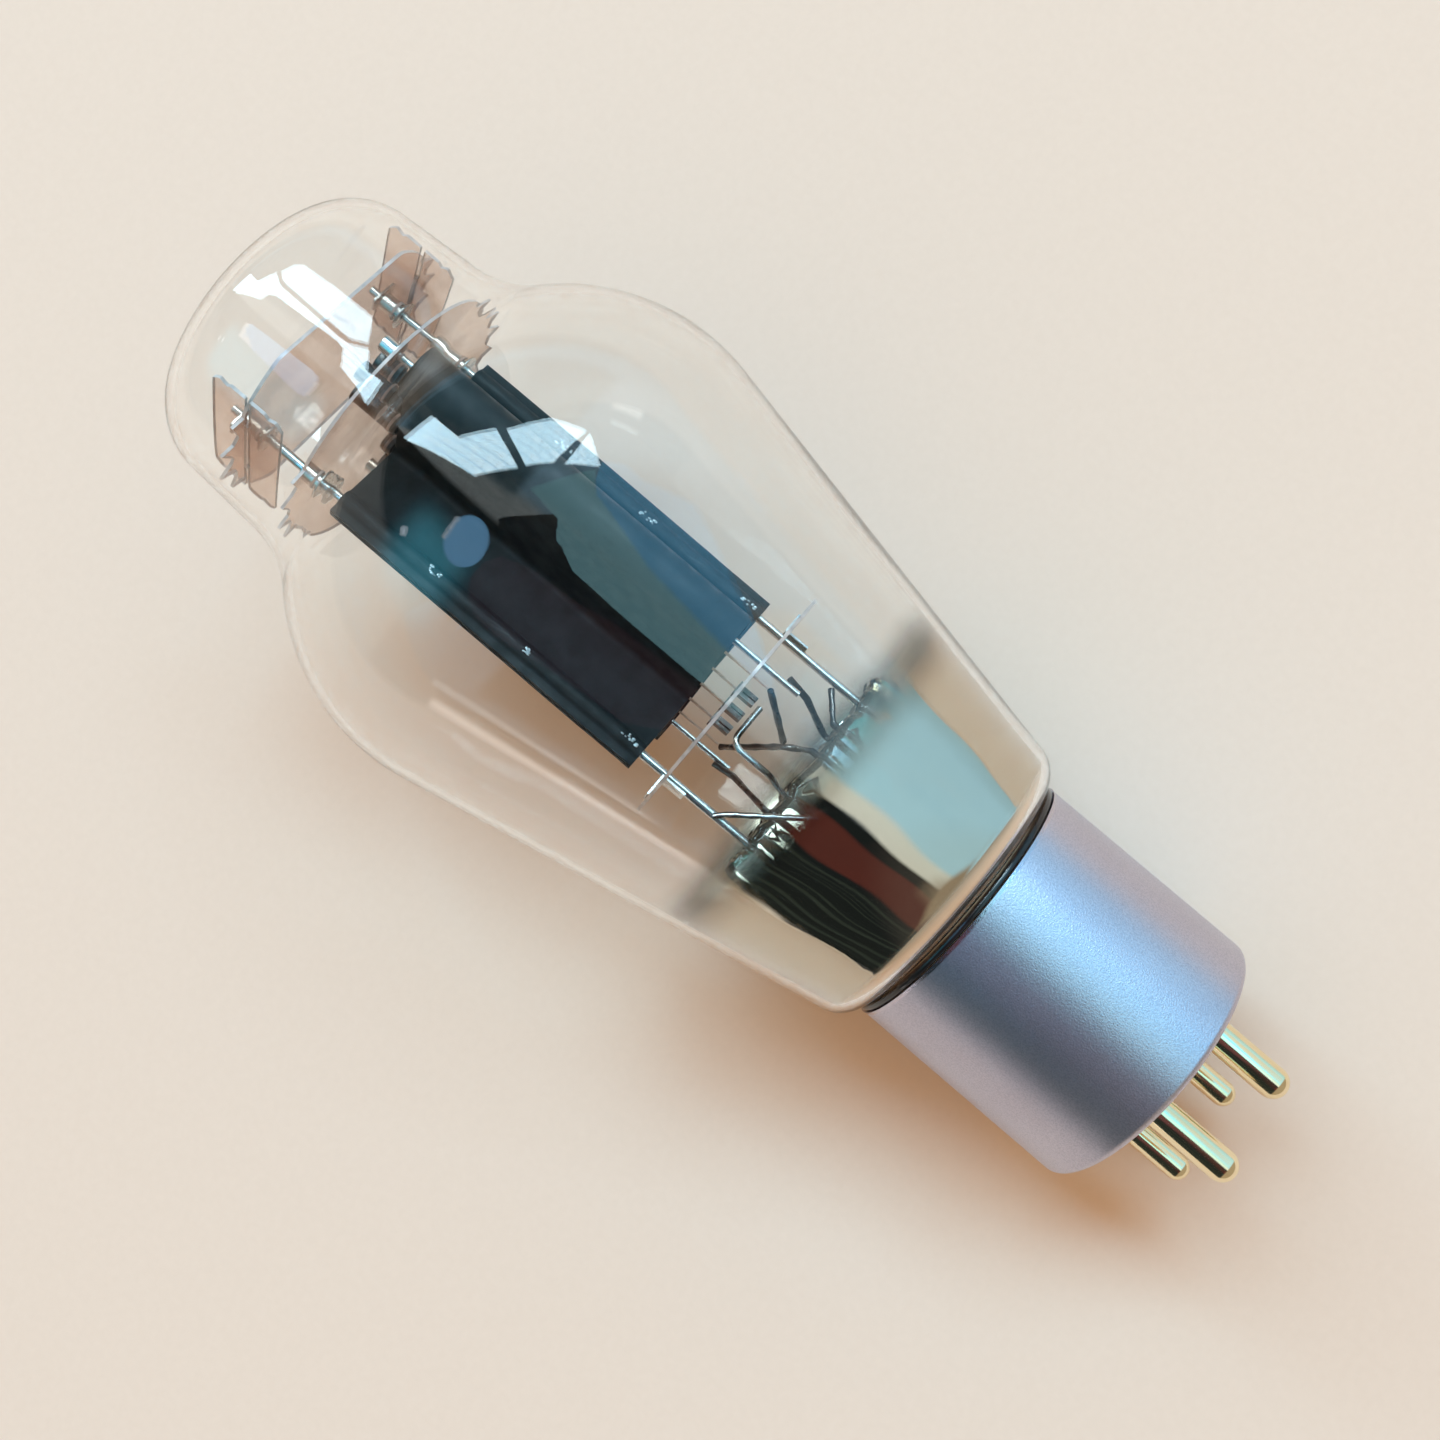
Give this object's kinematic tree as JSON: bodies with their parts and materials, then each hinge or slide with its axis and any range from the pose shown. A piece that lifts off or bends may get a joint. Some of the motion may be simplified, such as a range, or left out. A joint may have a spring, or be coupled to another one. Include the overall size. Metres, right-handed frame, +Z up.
{
  "type": "vacuum tube",
  "caption": "Power triode with a stepped glass bulb, a metal base and gold-plated pins, lying on its side.",
  "frame": {"origin": "Centre of the laid tube's footprint, on the surface it lies on.", "axes": "+X towards the pins and +Z up. The tube's axis dips 9 degrees towards the pins, because it lies on its bulge and its base rim."},
  "size_m": [0.1526, 0.0626, 0.0625],
  "materials": {
    "bulb_glass": "clear blown glass",
    "stem_glass": "clear pressed glass",
    "base_metal": "bead-blasted, mauve grey",
    "black_ring": "glossy black",
    "cement": "baked basing cement",
    "wafer": "black insulator",
    "pin_gold": "gold plated",
    "graphite_plate": "satin graphite coat",
    "nickel": "bright nickel",
    "dark_nickel": "oxidised nickel",
    "molybdenum": "drawn wire",
    "filament": "white oxide coat",
    "mica": "split mica sheet",
    "getter": "flashed getter metal"
  },
  "bodies": {
    "root": {"bulb": "bulb_glass", "stem": "stem_glass", "base_shell": "base_metal", "base_ring": "black_ring", "base_cement": "cement", "base_wafer": "wafer", "pin_1_filament": "pin_gold", "pin_2_plate": "pin_gold", "pin_3_grid": "pin_gold", "pin_4_filament": "pin_gold", "plate_front": "graphite_plate", "plate_back": "graphite_plate", "support_rod_left": "nickel", "support_rod_right": "nickel", "grid_rod_back": "nickel", "grid_rod_front": "nickel", "grid_winding": "molybdenum", "grid_eyelet_back": "nickel", "grid_eyelet_front": "nickel", "filament_strand_1": "filament", "filament_strand_2": "filament", "filament_strand_3": "filament", "filament_strand_4": "filament", "filament_strand_5": "filament", "filament_tab_2": "nickel", "filament_tab_3": "nickel", "filament_tab_4": "nickel", "spring_1": "dark_nickel", "spring_2": "dark_nickel", "spring_3": "dark_nickel", "spring_4": "dark_nickel", "spring_5": "dark_nickel", "spring_sleeve_1": "dark_nickel", "spring_sleeve_2": "dark_nickel", "spring_sleeve_3": "dark_nickel", "spring_sleeve_4": "dark_nickel", "spring_sleeve_5": "dark_nickel", "mica_bottom": "mica", "mica_top_lower": "mica", "mica_top_upper": "mica", "mica_wing_left": "mica", "mica_wing_right": "mica", "eyelet_lower_left": "nickel", "eyelet_lower_right": "nickel", "eyelet_upper_left": "nickel", "eyelet_upper_right": "nickel", "rod_lock_left": "nickel", "rod_lock_right": "nickel", "rod_clip_left": "nickel", "rod_clip_right": "nickel", "filament_lead": "dark_nickel", "filament_lead_arm": "dark_nickel", "centre_lead": "nickel", "grid_lead_back": "dark_nickel", "grid_lead_front": "dark_nickel", "plate_lead": "dark_nickel", "getter_wire": "nickel", "getter_pan": "getter"}
  },
  "joints": []
}
